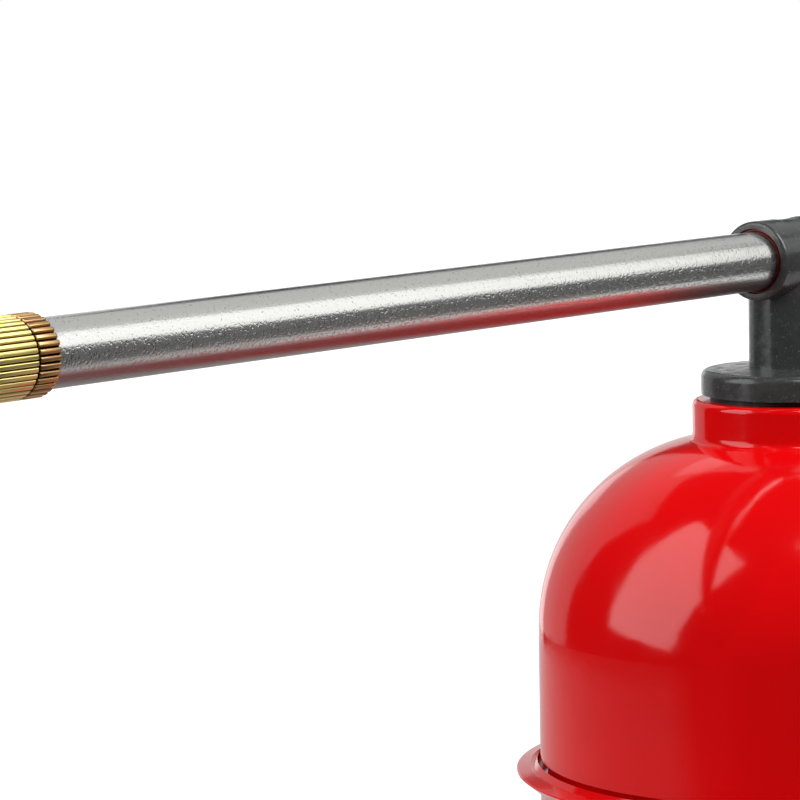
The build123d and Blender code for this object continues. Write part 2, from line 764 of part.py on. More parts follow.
with BuildPart() as pump_housing:
    with BuildSketch(drive_plane.offset(-pump_half)):
        with Locations((0, -pitch_r)):
            SlotCenterToCenter(2 * pitch_r, 2 * pump_half_width, rotation=90)
    extrude(amount=gear_width)
    with BuildSketch(Plane.XY.offset(base_thick)):
        Rectangle(gear_width, pedestal_width)
    extrude(amount=idler_z - base_thick)
    with BuildSketch(Plane.XY.offset(base_thick)):
        RectangleRounded(gear_width, pump_foot_width, pump_foot_corner_r)
    extrude(amount=pump_foot_thick)
    with BuildSketch(drive_plane.offset(-pump_half)):
        Circle(tip_circle + gear_tip_gap)
        with Locations((0, -2 * pitch_r)):
            Circle(tip_circle + gear_tip_gap)
    extrude(amount=gear_width, mode=Mode.SUBTRACT)
    with BuildSketch(suction_plane.offset(pitch_r / 2), discharge_plane.offset(pitch_r / 2)):
        Circle(port_r)
    extrude(amount=pump_half_width, mode=Mode.SUBTRACT)
    with BuildSketch(drive_plane.offset(-pump_half)):
        with Locations(*cover_bolt_points()):
            Circle(m5_r + fit)
    extrude(amount=gear_width, mode=Mode.SUBTRACT)
    with BuildSketch(Plane.XY.offset(base_thick)):
        with GridLocations(2 * pump_foot_screw_x, 2 * pump_foot_screw_y, 2, 2):
            Circle(m6_r + fit)
    extrude(amount=pump_foot_thick, mode=Mode.SUBTRACT)
pump_housing.part.label = "pump_housing"

with BuildPart() as pump_foot_screws:
    with BuildSketch(Plane.XY.offset(base_thick + pump_foot_thick)):
        with GridLocations(2 * pump_foot_screw_x, 2 * pump_foot_screw_y, 2, 2):
            RegularPolygon(m6_flats / 2, 6, major_radius=False)
    extrude(amount=m6_head)
    with BuildSketch(Plane.XY.offset(screw_floor)):
        with GridLocations(2 * pump_foot_screw_x, 2 * pump_foot_screw_y, 2, 2):
            Circle(m6_r)
    extrude(amount=base_thick + pump_foot_thick - screw_floor)
pump_foot_screws.part.label = "pump_foot_screws"


def pump_cover(start, through_r):
    """End cover with two blind bush pockets; the drive shaft may pass through it."""
    outward = 1 if start > 0 else -1
    with BuildPart() as cover:
        with BuildSketch(drive_plane.offset(start)):
            with Locations((0, -pitch_r)):
                SlotCenterToCenter(2 * pitch_r, 2 * pump_half_width, rotation=90)
            with Locations(*cover_bolt_points()):
                Circle(m5_r + fit, mode=Mode.SUBTRACT)
        extrude(amount=outward * cover_thick)
        with BuildSketch(drive_plane.offset(start)):
            Circle(bush_r + fit)
            with Locations((0, -2 * pitch_r)):
                Circle(bush_r + fit)
        extrude(amount=outward * bush_len, mode=Mode.SUBTRACT)
        if through_r:
            with BuildSketch(drive_plane.offset(start)):
                Circle(through_r)
            extrude(amount=outward * cover_thick, mode=Mode.SUBTRACT)
    return cover


blind_cover = pump_cover(-pump_half, 0)
blind_cover.part.label = "blind_cover"

shaft_cover = pump_cover(pump_half, shaft_r + 5 * play)
shaft_cover.part.label = "shaft_cover"

with BuildPart() as pump_bolts:
    with BuildSketch(drive_plane.offset(pump_half + cover_thick)):
        with Locations(*cover_bolt_points()):
            RegularPolygon(m5_flats / 2, 6, major_radius=False)
    extrude(amount=m5_head)
    with BuildSketch(drive_plane.offset(pump_half + cover_thick)):
        with Locations(*cover_bolt_points()):
            Circle(m5_r)
    extrude(amount=-(gear_width + 2 * cover_thick + m5_nut + bolt_end))
pump_bolts.part.label = "pump_bolts"

with BuildPart() as pump_nuts:
    with BuildSketch(drive_plane.offset(-pump_half - cover_thick)):
        with Locations(*cover_bolt_points()):
            RegularPolygon(m5_flats / 2, 6, major_radius=False)
            Circle(m5_r + fit, mode=Mode.SUBTRACT)
    extrude(amount=-m5_nut)
pump_nuts.part.label = "pump_nuts"

with BuildPart() as shaft_bushes:
    bush_planes = (
        drive_plane.offset(pump_half),
        idler_plane.offset(pump_half),
        drive_plane.offset(-pump_half - bush_len),
        idler_plane.offset(-pump_half - bush_len),
    )
    with BuildSketch(*bush_planes):
        Circle(bush_r)
        Circle(shaft_r + running, mode=Mode.SUBTRACT)
    extrude(amount=bush_len)
shaft_bushes.part.label = "shaft_bushes"

gear_back = -pump_half + gear_end_gap
gear_thick = gear_width - 2 * gear_end_gap
drive_outline = gear_outline(drive_plane.offset(gear_back), -90)
idler_outline = gear_outline(idler_plane.offset(gear_back), 90 + 180 / gear_teeth)

with BuildPart() as drive_gear:
    extrude(drive_outline, amount=gear_thick, dir=(1, 0, 0))
    with BuildSketch(drive_plane.offset(gear_back)):
        Circle(shaft_r + fit)
        with Locations((0, shaft_r)):
            Rectangle(key_size, key_size)
    extrude(amount=gear_thick, mode=Mode.SUBTRACT)
drive_gear.part.label = "drive_gear"

with BuildPart() as idler_gear:
    extrude(idler_outline, amount=gear_thick, dir=(1, 0, 0))
    with BuildSketch(idler_plane.offset(gear_back)):
        Circle(shaft_r + fit)
    extrude(amount=gear_thick, mode=Mode.SUBTRACT)
idler_gear.part.label = "idler_gear"

shaft_end = pump_half + bush_len - 5 * play

with BuildPart() as drive_shaft:
    with BuildSketch(drive_plane.offset(-shaft_end)):
        Circle(shaft_r)
    extrude(amount=shaft_end + crank_start)
    with BuildSketch(drive_plane.offset(crank_start)):
        Rectangle(crank_square, crank_square)
    extrude(amount=crank_hub_len - play)
    with BuildSketch(drive_plane.offset(crank_start)):
        Circle(crank_stud_r)
    extrude(amount=crank_hub_len + crank_washer + crank_nut_thick + stud_end)
    with BuildSketch(drive_plane.offset(-key_len / 2)):
        with Locations((0, shaft_r)):
            Rectangle(key_size, key_size)
    extrude(amount=key_len, mode=Mode.SUBTRACT)
drive_shaft.part.label = "drive_shaft"

with BuildPart() as gear_key:
    with BuildSketch(drive_plane.offset(-key_len / 2)):
        with Locations((0, shaft_r)):
            Rectangle(key_size, key_size)
    extrude(amount=key_len)
gear_key.part.label = "gear_key"

with BuildPart() as idler_shaft:
    with BuildSketch(idler_plane.offset(-shaft_end)):
        Circle(shaft_r)
    extrude(amount=2 * shaft_end)
idler_shaft.part.label = "idler_shaft"

# --- Shaft gland ---------------------------------------------------------------------

packing_start = gland_boss_in + gland_bush_len
packing_end = packing_start + 2 * packing_ring

with BuildPart() as gland_bush:
    with BuildSketch(drive_plane.offset(gland_boss_in)):
        Circle(gland_bush_r)
        Circle(shaft_r + running, mode=Mode.SUBTRACT)
    extrude(amount=gland_bush_len)
gland_bush.part.label = "gland_bush"

with BuildPart() as shaft_packing:
    with BuildSketch(
        drive_plane.offset(packing_start), drive_plane.offset(packing_start + packing_ring)
    ):
        Circle(packing_r - fit)
        Circle(shaft_r + running, mode=Mode.SUBTRACT)
    extrude(amount=packing_ring - fit)
shaft_packing.part.label = "shaft_packing"

with BuildPart() as gland_nut:
    with BuildSketch(drive_plane.offset(packing_end)):
        Circle(packing_r - fit)
    extrude(amount=gland_boss_out + gland_seat - packing_end)
    with BuildSketch(drive_plane.offset(gland_boss_out + gland_seat)):
        RegularPolygon(gland_flats / 2, 6, major_radius=False)
    extrude(amount=gland_head)
    with BuildSketch(drive_plane.offset(packing_end)):
        Circle(shaft_r + 2 * running)
    extrude(amount=gland_boss_out, mode=Mode.SUBTRACT)
gland_nut.part.label = "gland_nut"

# --- Crank ---------------------------------------------------------------------------

with BuildPart() as crank_arm:
    with BuildSketch(drive_plane.offset(crank_start + (crank_hub_len - crank_arm_thick) / 2)):
        Circle(crank_hub_r - crank_round)
        with Locations((0, -crank_throw)):
            Circle(crank_eye_r)
        make_hull()
    extrude(amount=crank_arm_thick)
    fillet(crank_arm.edges().filter_by(Plane.YZ), crank_round)
    with BuildSketch(drive_plane.offset(crank_start)):
        Circle(crank_hub_r)
    extrude(amount=crank_hub_len)
    with BuildSketch(grip_plane.offset(crank_start)):
        Circle(crank_eye_r)
    extrude(amount=crank_hub_len)
    with BuildSketch(drive_plane.offset(crank_start)):
        Rectangle(crank_square + 2 * fit, crank_square + 2 * fit)
        with Locations((0, -crank_throw)):
            Circle(spindle_r + fit)
    extrude(amount=crank_hub_len, mode=Mode.SUBTRACT)
crank_arm.part.label = "crank_arm"

with BuildPart() as crank_washers:
    with BuildSketch(drive_plane.offset(crank_end)):
        Circle(2 * crank_stud_r)
        Circle(crank_stud_r + fit, mode=Mode.SUBTRACT)
        with Locations((0, -crank_throw)):
            Circle(2 * spindle_r)
            Circle(spindle_r + fit, mode=Mode.SUBTRACT)
    extrude(amount=crank_washer)
crank_washers.part.label = "crank_washers"

with BuildPart() as crank_nut:
    with BuildSketch(drive_plane.offset(crank_end + crank_washer)):
        RegularPolygon(crank_nut_flats / 2, 6, major_radius=False)
        Circle(crank_stud_r + fit, mode=Mode.SUBTRACT)
    extrude(amount=crank_nut_thick)
crank_nut.part.label = "crank_nut"

with BuildPart() as grip_spindle:
    grip_end = grip_start + play + grip_len
    with BuildSketch(grip_plane.offset(crank_start - crank_nut_thick - bolt_end)):
        Circle(spindle_r)
    extrude(amount=grip_end + play - crank_start + crank_nut_thick + bolt_end)
    with BuildSketch(grip_plane.offset(grip_end + play)):
        Circle(spindle_head_r)
    extrude(amount=spindle_head)
    fillet(grip_spindle.edges().filter_by(GeomType.CIRCLE).sort_by(Axis.X)[-1], spindle_head_round)
    with BuildSketch(grip_plane.offset(grip_end + play + spindle_head)):
        Rectangle(2 * spindle_head_r + past, spindle_slot)
    extrude(amount=-spindle_slot_depth, mode=Mode.SUBTRACT)
grip_spindle.part.label = "grip_spindle"

with BuildPart() as spindle_nut:
    with BuildSketch(grip_plane.offset(crank_start)):
        RegularPolygon(crank_nut_flats / 2, 6, major_radius=False)
        Circle(spindle_r + fit, mode=Mode.SUBTRACT)
    extrude(amount=-crank_nut_thick)
spindle_nut.part.label = "spindle_nut"

with BuildPart() as grip:
    start = grip_start + play
    with BuildSketch(Plane.XZ) as grip_section:
        with BuildLine():
            Polyline(
                (start, grip_z + grip_end_r),
                (start, grip_z + spindle_r + 2 * running),
                (start + grip_len, grip_z + spindle_r + 2 * running),
                (start + grip_len, grip_z + grip_end_r),
            )
            Spline(
                (start, grip_z + grip_end_r),
                (start + 0.3 * grip_len, grip_z + grip_r - 1.2),
                (start + 0.68 * grip_len, grip_z + grip_r),
                (start + grip_len, grip_z + grip_end_r),
            )
        make_face()
        ends = grip_section.vertices()
        fillet(ends.sort_by_distance((start, grip_z + grip_end_r))[0], 1.5)
        fillet(ends.sort_by_distance((start + grip_len, grip_z + grip_end_r))[0], 2.5)
    revolve(axis=grip_axis)
grip.part.label = "grip"

# --- Suction fitting and check valve -------------------------------------------------

with BuildPart() as suction_gasket:
    with BuildSketch(suction_plane.offset(suction_boss_out)):
        Circle(suction_boss_r - gasket_margin)
        Circle(suction_r + fit, mode=Mode.SUBTRACT)
    extrude(amount=gasket)
suction_gasket.part.label = "suction_gasket"

with BuildPart() as port_seal:
    with BuildSketch(suction_plane.offset(pump_half_width)):
        Circle(suction_r)
        Circle(valve_chamber_r, mode=Mode.SUBTRACT)
    extrude(amount=suction_end - pump_half_width)
port_seal.part.label = "port_seal"

with BuildPart() as suction_fitting:
    with BuildSketch(suction_plane.offset(suction_end)):
        Circle(suction_r)
    extrude(amount=suction_face - suction_end)
    with BuildSketch(suction_plane.offset(suction_face)):
        RegularPolygon(suction_flats / 2, 6, major_radius=False)
    extrude(amount=suction_head)
    with BuildSketch(suction_plane.offset(suction_end)):
        Circle(valve_chamber_r)
    extrude(amount=valve_seat_at - suction_end, mode=Mode.SUBTRACT)
    with BuildSketch(suction_plane.offset(valve_seat_at)):
        Circle(valve_seat_r)
    extrude(amount=valve_seat_thick, mode=Mode.SUBTRACT)
    with BuildSketch(suction_plane.offset(valve_seat_at + valve_seat_thick)):
        Circle(suction_thread_r)
    extrude(amount=suction_mouth, mode=Mode.SUBTRACT)
    with BuildSketch(Plane.YZ.offset(-flap_pin_len / 2)):
        with Locations((valve_seat_at - flap_pin_back, port_z + flap_pin_rise)):
            Circle(flap_pin_r)
    extrude(amount=flap_pin_len, mode=Mode.SUBTRACT)
suction_fitting.part.label = "suction_fitting"

with BuildPart() as flap_pin:
    with BuildSketch(Plane.YZ.offset(-flap_pin_len / 2)):
        with Locations((valve_seat_at - flap_pin_back, port_z + flap_pin_rise)):
            Circle(flap_pin_r)
    extrude(amount=flap_pin_len)
flap_pin.part.label = "flap_pin"

with BuildPart() as suction_flap:
    eye_y = valve_seat_at - flap_pin_back
    eye_z = port_z + flap_pin_rise
    with BuildSketch(suction_plane.offset(valve_seat_at - play)):
        Circle(flap_r)
    extrude(amount=-flap_thick)
    with BuildSketch(Plane.YZ.offset(-flap_eye_len / 2)):
        with Locations((eye_y, eye_z)):
            Circle(flap_eye_r)
        with Locations((valve_seat_at - play - flap_pin_back / 2, eye_z - flap_eye_r / 2)):
            Rectangle(flap_pin_back, flap_eye_r)
    extrude(amount=flap_eye_len)
    with BuildSketch(Plane.YZ.offset(-flap_eye_len / 2)):
        with Locations((eye_y, eye_z)):
            Circle(flap_pin_r + running)
    extrude(amount=flap_eye_len, mode=Mode.SUBTRACT)
suction_flap.part.label = "suction_flap"

# --- Write one STEP file per sub-part ------------------------------------------------

pieces = (
    base_plate, base_gasket, lower_casing, casing_screws, dome_gasket, dome, dome_screws,
    drain_gasket, drain_plug, neck_bush, swivel_washer, swivel_head, journal_seals,
    swivel_nut, riser_tube, tee_end_plug, arm_seal, arm_tube, nozzle_adapter, nozzle_nut,
    rubber_tip, pump_housing, pump_foot_screws, blind_cover, shaft_cover, pump_bolts,
    pump_nuts, shaft_bushes, drive_gear, idler_gear, drive_shaft, gear_key, idler_shaft,
    gland_bush, shaft_packing, gland_nut, crank_arm, crank_washers, crank_nut,
    grip_spindle, spindle_nut, grip, suction_gasket, port_seal, suction_fitting, flap_pin,
    suction_flap,
)

os.makedirs("parts", exist_ok=True)
for piece in pieces:
    export_step(piece.part, f"parts/{piece.part.label}.step")
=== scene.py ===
import json
import math

import bmesh
import bpy
from mathutils import Matrix, Quaternion, Vector


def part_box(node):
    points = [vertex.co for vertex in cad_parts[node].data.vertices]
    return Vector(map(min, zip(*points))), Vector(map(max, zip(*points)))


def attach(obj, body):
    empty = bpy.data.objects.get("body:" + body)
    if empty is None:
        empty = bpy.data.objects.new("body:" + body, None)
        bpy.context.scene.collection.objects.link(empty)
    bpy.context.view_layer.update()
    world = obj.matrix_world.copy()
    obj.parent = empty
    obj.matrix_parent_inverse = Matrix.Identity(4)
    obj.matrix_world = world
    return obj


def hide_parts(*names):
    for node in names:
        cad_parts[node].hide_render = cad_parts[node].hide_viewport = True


# Rotary hand transfer pump: a red enamelled pressure vessel with a swivelling plastic head, an
# aluminium spout arm, a knurled brass nozzle and a hand crank. All lengths are in metres.

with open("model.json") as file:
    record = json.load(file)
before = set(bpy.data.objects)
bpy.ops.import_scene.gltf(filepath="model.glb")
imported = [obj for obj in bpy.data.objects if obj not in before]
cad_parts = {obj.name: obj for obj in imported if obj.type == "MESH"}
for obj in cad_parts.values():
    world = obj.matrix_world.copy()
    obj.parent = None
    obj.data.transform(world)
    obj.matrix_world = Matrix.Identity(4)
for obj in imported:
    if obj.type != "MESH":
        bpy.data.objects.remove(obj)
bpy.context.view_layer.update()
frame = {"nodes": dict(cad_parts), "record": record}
nodes = frame["nodes"]
MM = 0.001

# --- Places read from the frame ------------------------------------------------------

arm_low, arm_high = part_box("arm_tube")
ARM_Z = (arm_low.z + arm_high.z) / 2
ARM_R = (arm_high.z - arm_low.z) / 2
NECK_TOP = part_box("dome")[1].z
nut_low, nut_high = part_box("nozzle_nut")
ring_low, ring_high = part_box("nozzle_adapter")
CREST = nut_high.z - ARM_Z


# --- Camera --------------------------------------------------------------------------

CAMERA_PLACE = Vector((-1.08998, -0.76437, 0.41187))
CAMERA_AIM = Vector((-0.0905, 0.0967, 0.2543))
CAMERA_ROLL = math.radians(-1.083)
SENSOR_MM = 36
LENS_MM = 176.05
NEAR_CLIP = 0.05
FAR_CLIP = 200

camera = bpy.data.objects.new("camera", bpy.data.cameras.new("camera"))
bpy.context.scene.collection.objects.link(camera)
bpy.context.scene.camera = camera
camera.location = CAMERA_PLACE
camera.rotation_mode = "QUATERNION"
level = (CAMERA_AIM - CAMERA_PLACE).to_track_quat("-Z", "Y")
camera.rotation_quaternion = level @ Quaternion((0, 0, 1), CAMERA_ROLL)
camera.data.sensor_width = SENSOR_MM
camera.data.lens = LENS_MM
camera.data.clip_start = NEAR_CLIP
camera.data.clip_end = FAR_CLIP


# --- Material helpers ----------------------------------------------------------------


def linear(code):
    """An sRGB hex colour as the linear RGBA that shaders take."""
    values = [int(code[i:i + 2], 16) / 255 for i in (1, 3, 5)]
    return [v / 12.92 if v <= 0.04045 else ((v + 0.055) / 1.055) ** 2.4 for v in values] + [1]


def add_node(tree, kind, sockets=None, **settings):
    """Adds a node. Each socket gets a value, or a link where an output socket is given."""
    node = tree.nodes.new(kind)
    for name, value in settings.items():
        setattr(node, name, value)
    for name, value in (sockets or {}).items():
        if isinstance(value, bpy.types.NodeSocket):
            tree.links.new(value, node.inputs[name])
        else:
            node.inputs[name].default_value = value
    return node


def new_material(name):
    """An empty material with its output node, ready for a shader."""
    material = bpy.data.materials.new(name)
    material.use_nodes = True
    material.node_tree.nodes.clear()
    output = add_node(material.node_tree, "ShaderNodeOutputMaterial")
    return material, material.node_tree, output


def gloss_red_enamel():
    """Stoved gloss enamel on pressed steel: deep red, mirror-clear, with faint orange peel."""
    material, tree, output = new_material("gloss_red_enamel")
    place = add_node(tree, "ShaderNodeTexCoord").outputs["Object"]
    # orange peel: soft waves about 3 mm across, only microns high
    peel = add_node(tree, "ShaderNodeTexNoise", {"Vector": place, "Scale": 330.0, "Detail": 2.0})
    dust = add_node(tree, "ShaderNodeTexNoise", {"Vector": place, "Scale": 60.0, "Detail": 6.0})
    rough = add_node(tree, "ShaderNodeMapRange", {
        "Value": dust.outputs["Fac"], "From Min": 0.35, "From Max": 0.75,
        "To Min": 0.08, "To Max": 0.15})
    bump = add_node(tree, "ShaderNodeBump", {
        "Height": peel.outputs["Fac"], "Strength": 0.06, "Distance": 0.0002})
    shade = add_node(tree, "ShaderNodeMix", {
        "Factor": dust.outputs["Fac"], "A": linear("#E6080C"), "B": linear("#DF070B")},
        data_type="RGBA")
    shader = add_node(tree, "ShaderNodeBsdfPrincipled", {
        "Base Color": shade.outputs["Result"], "Roughness": rough.outputs["Result"],
        "Normal": bump.outputs["Normal"], "IOR": 1.5})
    tree.links.new(shader.outputs["BSDF"], output.inputs["Surface"])
    return material


def moulded_grey_pvc():
    """Injection-moulded PVC: dark grey with a waxy shine, handled enough to show hairline
    scuffs and pale specks."""
    material, tree, output = new_material("moulded_grey_pvc")
    place = add_node(tree, "ShaderNodeTexCoord").outputs["Object"]
    cloud = add_node(tree, "ShaderNodeTexNoise", {"Vector": place, "Scale": 260.0, "Detail": 6.0})
    # scuffs: broken hairlines, 4 to 8 mm long and a few tenths wide
    drawn = add_node(tree, "ShaderNodeMapping", {
        "Vector": place, "Rotation": (0.3, 0.5, 0.2), "Scale": (240.0, 1500.0, 900.0)})
    scuffs = add_node(tree, "ShaderNodeTexNoise", {
        "Vector": drawn.outputs["Vector"], "Scale": 1.0, "Detail": 4.0, "Roughness": 0.6})
    worn = add_node(tree, "ShaderNodeMapRange", {
        "Value": scuffs.outputs["Fac"], "From Min": 0.62, "From Max": 0.70,
        "To Min": 0.0, "To Max": 0.75})
    # specks: dust and chips, 0.3 to 0.6 mm
    specks = add_node(tree, "ShaderNodeTexNoise", {
        "Vector": place, "Scale": 1500.0, "Detail": 2.0, "Roughness": 0.5})
    chipped = add_node(tree, "ShaderNodeMapRange", {
        "Value": specks.outputs["Fac"], "From Min": 0.70, "From Max": 0.74,
        "To Min": 0.0, "To Max": 0.8})
    colour = add_node(tree, "ShaderNodeMix", {
        "Factor": cloud.outputs["Fac"], "A": linear("#343535"), "B": linear("#474848")},
        data_type="RGBA")
    scuffed = add_node(tree, "ShaderNodeMix", {
        "Factor": worn.outputs["Result"], "A": colour.outputs["Result"], "B": linear("#6A6B6B")},
        data_type="RGBA")
    flecked = add_node(tree, "ShaderNodeMix", {
        "Factor": chipped.outputs["Result"], "A": scuffed.outputs["Result"],
        "B": linear("#9A9A98")}, data_type="RGBA")
    rough = add_node(tree, "ShaderNodeMapRange", {
        "Value": cloud.outputs["Fac"], "From Min": 0.35, "From Max": 0.65,
        "To Min": 0.14, "To Max": 0.28})
    bump = add_node(tree, "ShaderNodeBump", {
        "Height": cloud.outputs["Fac"], "Strength": 0.25, "Distance": 0.0003})
    shader = add_node(tree, "ShaderNodeBsdfPrincipled", {
        "Base Color": flecked.outputs["Result"], "Roughness": rough.outputs["Result"],
        "Normal": bump.outputs["Normal"], "IOR": 1.54})
    tree.links.new(shader.outputs["BSDF"], output.inputs["Surface"])
    return material


def mill_finish_aluminium():
    """Drawn aluminium tube as it leaves the die: bright, with fine draw lines along the arm
    and small dents that sparkle in its dark band. The underside is rougher, and painted
    darker in colour as painted shade."""
    material, tree, output = new_material("mill_finish_aluminium")
    place = add_node(tree, "ShaderNodeTexCoord").outputs["Object"]
    axes = add_node(tree, "ShaderNodeSeparateXYZ", {"Vector": place})
    # draw lines: about 0.5 mm apart round the tube and 60 mm long
    along = add_node(tree, "ShaderNodeMapping", {"Vector": place, "Scale": (16.0, 2000.0, 2000.0)})
    lines = add_node(tree, "ShaderNodeTexNoise", {
        "Vector": along.outputs["Vector"], "Scale": 1.0, "Detail": 3.0})
    # grit: sparse dents of 0.5 to 1 mm, whose rims throw light and dark flecks; hands have
    # rubbed them down on the upper side
    unworn = add_node(tree, "ShaderNodeMapRange", {
        "Value": axes.outputs["Z"], "From Min": ARM_Z + 0.10 * ARM_R,
        "From Max": ARM_Z + 0.30 * ARM_R, "To Min": 1.0, "To Max": 0.35})
    grit = add_node(tree, "ShaderNodeTexNoise", {
        "Vector": place, "Scale": 950.0, "Detail": 2.0, "Roughness": 0.55})
    dented = add_node(tree, "ShaderNodeMapRange", {
        "Value": grit.outputs["Fac"], "From Min": 0.52, "From Max": 0.71,
        "To Min": 0.0, "To Max": unworn.outputs["Result"]})
    # pits: dull specks of 0.4 to 0.8 mm
    pits = add_node(tree, "ShaderNodeTexNoise", {
        "Vector": place, "Scale": 1300.0, "Detail": 2.0, "Roughness": 0.5})
    pitted = add_node(tree, "ShaderNodeMapRange", {
        "Value": pits.outputs["Fac"], "From Min": 0.64, "From Max": 0.72,
        "To Min": 0.0, "To Max": 0.6})
    # painted shade: below the arm's axis the colour is darkened, and the roughness is raised
    underside_shade_and_dullness = add_node(tree, "ShaderNodeMapRange", {
        "Value": axes.outputs["Z"], "From Min": ARM_Z - 0.40 * ARM_R,
        "From Max": ARM_Z - 0.58 * ARM_R, "To Min": 0.0, "To Max": 1.0})
    metal = add_node(tree, "ShaderNodeMix", {
        "Factor": underside_shade_and_dullness.outputs["Result"], "A": linear("#E6E6E2"), "B": linear("#A29E9C")},
        data_type="RGBA")
    colour = add_node(tree, "ShaderNodeMix", {
        "Factor": pitted.outputs["Result"], "A": metal.outputs["Result"],
        "B": linear("#7E7F80")}, data_type="RGBA")
    rough = add_node(tree, "ShaderNodeMapRange", {
        "Value": lines.outputs["Fac"], "From Min": 0.3, "From Max": 0.7,
        "To Min": 0.16, "To Max": 0.24})
    duller = add_node(tree, "ShaderNodeMath", {
        0: underside_shade_and_dullness.outputs["Result"], 1: 0.16, 2: rough.outputs["Result"]},
        operation="MULTIPLY_ADD")
    drawn = add_node(tree, "ShaderNodeBump", {
        "Height": lines.outputs["Fac"], "Strength": 0.2, "Distance": 0.0001})
    bump = add_node(tree, "ShaderNodeBump", {
        "Height": dented.outputs["Result"], "Normal": drawn.outputs["Normal"],
        "Strength": 0.6, "Distance": 0.0001}, invert=True)
    shader = add_node(tree, "ShaderNodeBsdfPrincipled", {
        "Base Color": colour.outputs["Result"], "Metallic": 1.0,
        "Roughness": duller.outputs["Value"], "Normal": bump.outputs["Normal"]})
    tree.links.new(shader.outputs["BSDF"], output.inputs["Surface"])
    return material


def knurled_brass(name, bright, flute_shade_and_tarnish, groove_depth):
    """Turned and knurled brass: bright golden crests, with dull brown in the flutes: tarnish
    where polish never reaches, deepened with painted shade."""
    material, tree, output = new_material(name)
    place = add_node(tree, "ShaderNodeTexCoord").outputs["Object"]
    # distance from the arm's axis: the flutes lie under the crests
    centred = add_node(tree, "ShaderNodeMapping", {
        "Vector": place, "Location": (0.0, 0.0, -ARM_Z), "Scale": (0.0, 1.0, 1.0)})
    reach = add_node(tree, "ShaderNodeVectorMath", {0: centred.outputs["Vector"]},
                     operation="LENGTH")
    # painted shade and tarnish: the deeper below the crest, the darker the flute's colour
    groove = add_node(tree, "ShaderNodeMapRange", {
        "Value": reach.outputs["Value"], "From Min": CREST - groove_depth,
        "From Max": CREST - 0.15 * MM, "To Min": 1.0, "To Max": 0.0})
    cloud = add_node(tree, "ShaderNodeTexNoise", {"Vector": place, "Scale": 300.0, "Detail": 5.0})
    colour = add_node(tree, "ShaderNodeMix", {
        "Factor": groove.outputs["Result"], "A": linear(bright), "B": linear(flute_shade_and_tarnish)},
        data_type="RGBA")
    rough = add_node(tree, "ShaderNodeMapRange", {
        "Value": cloud.outputs["Fac"], "From Min": 0.3, "From Max": 0.7,
        "To Min": 0.28, "To Max": 0.42})
    turned = add_node(tree, "ShaderNodeBump", {
        "Height": cloud.outputs["Fac"], "Strength": 0.15, "Distance": 0.0001})
    shader = add_node(tree, "ShaderNodeBsdfPrincipled", {
        "Base Color": colour.outputs["Result"], "Metallic": 1.0,
        "Roughness": rough.outputs["Result"], "Normal": turned.outputs["Normal"]})
    tree.links.new(shader.outputs["BSDF"], output.inputs["Surface"])
    return material


def plain_surface(name, dark, light, metallic, low, high, patch, height, extra=None):
    """A surface that clouds between two shades and two roughnesses, over patches of a real
    size in metres, with a matching relief of a real height in metres."""
    material, tree, output = new_material(name)
    place = add_node(tree, "ShaderNodeTexCoord").outputs["Object"]
    cloud = add_node(tree, "ShaderNodeTexNoise", {
        "Vector": place, "Scale": 1 / patch, "Detail": 5.0, "Roughness": 0.6})
    colour = add_node(tree, "ShaderNodeMix", {
        "Factor": cloud.outputs["Fac"], "A": linear(dark), "B": linear(light)},
        data_type="RGBA")
    rough = add_node(tree, "ShaderNodeMapRange", {
        "Value": cloud.outputs["Fac"], "From Min": 0.3, "From Max": 0.7,
        "To Min": low, "To Max": high})
    bump = add_node(tree, "ShaderNodeBump", {
        "Height": cloud.outputs["Fac"], "Strength": 0.5, "Distance": height})
    shader = add_node(tree, "ShaderNodeBsdfPrincipled", {
        "Base Color": colour.outputs["Result"], "Metallic": metallic,
        "Roughness": rough.outputs["Result"], "Normal": bump.outputs["Normal"], **(extra or {})})
    tree.links.new(shader.outputs["BSDF"], output.inputs["Surface"])
    return material


# --- Materials on the CAD nodes ------------------------------------------------------

enamel = gloss_red_enamel()
pvc = moulded_grey_pvc()
aluminium = mill_finish_aluminium()
NUT_FLUTE = 0.5 * MM
RING_FLUTE = 0.75 * MM
# crest colour, then flute colour: tarnish darkened further as painted shade
nut_brass = knurled_brass("knurled_brass", "#FFEC98", "#4E300C", NUT_FLUTE)
ring_brass = knurled_brass("knurled_red_brass", "#D8AC74", "#3A220E", RING_FLUTE)
# moulded natural rubber: waxy amber, lets a little light in at thin edges
amber_rubber = plain_surface("moulded_amber_rubber", "#D9A62E", "#E8BC48", 0.0, 0.38, 0.5,
                             3 * MM, 0.02 * MM, {
                                 "Subsurface Weight": 0.25, "Subsurface Scale": 2 * MM,
                                 "Subsurface Radius": (1.0, 0.5, 0.15), "IOR": 1.52})
red_rubber = plain_surface("moulded_red_rubber", "#5E0A0E", "#8E1418", 0.0, 0.4, 0.55,
                           1.5 * MM, 0.02 * MM)
black_rubber = plain_surface("moulded_black_rubber", "#111214", "#1C1D1F", 0.0, 0.45, 0.65,
                             2 * MM, 0.03 * MM)
fibre = plain_surface("pressed_fibre_sheet", "#3A3631", "#56504A", 0.0, 0.75, 0.9,
                      0.8 * MM, 0.05 * MM)
zinc = plain_surface("bright_zinc_plate", "#B9BEC4", "#D6D9DC", 1.0, 0.2, 0.36,
                     1.8 * MM, 0.02 * MM)
ground = plain_surface("ground_steel", "#B4B4B2", "#CDCDCB", 1.0, 0.16, 0.28,
                       1.2 * MM, 0.01 * MM)
iron = plain_surface("sand_cast_iron", "#34363A", "#4A4C50", 0.6, 0.45, 0.65,
                     1.1 * MM, 0.12 * MM)
bronze = plain_surface("sintered_bronze", "#9C6A3A", "#B98450", 1.0, 0.35, 0.5,
                       0.6 * MM, 0.03 * MM)
